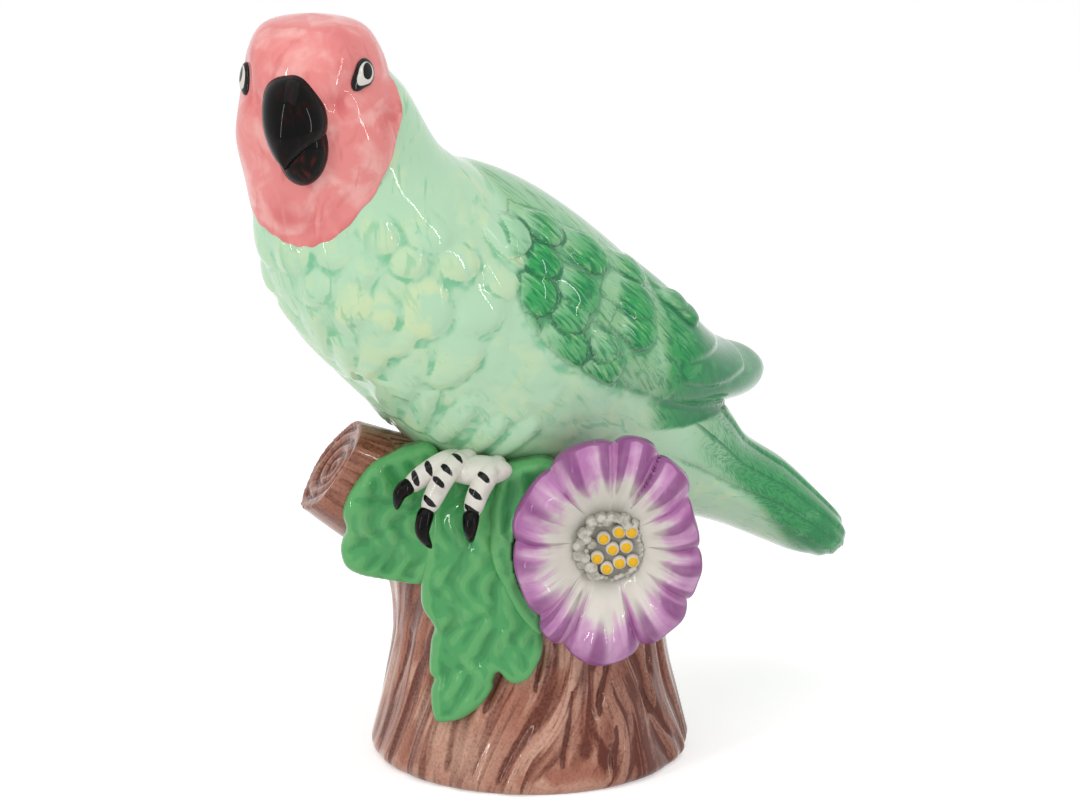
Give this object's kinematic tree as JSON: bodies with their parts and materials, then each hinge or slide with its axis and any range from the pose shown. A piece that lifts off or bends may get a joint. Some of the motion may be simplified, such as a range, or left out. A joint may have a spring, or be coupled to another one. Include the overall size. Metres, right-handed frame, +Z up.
{
  "type": "parrot figurine",
  "caption": "Glazed ceramic parrot perched on a round tree stump with a sawn branch, draped leaves and a large open flower; hollow casting with a flat foot.",
  "frame": {"origin": "middle of the flat foot that the stump stands on", "axes": "+Z up; the flower and the leaves face -Y; the sawn branch points to -X and the tail to +X"},
  "size_m": [0.1946, 0.1683, 0.2502],
  "materials": {
    "glazed_ceramic": "gloss glaze over hand painting"
  },
  "bodies": {
    "root": {"parrot_figurine": "glazed_ceramic"}
  },
  "joints": []
}
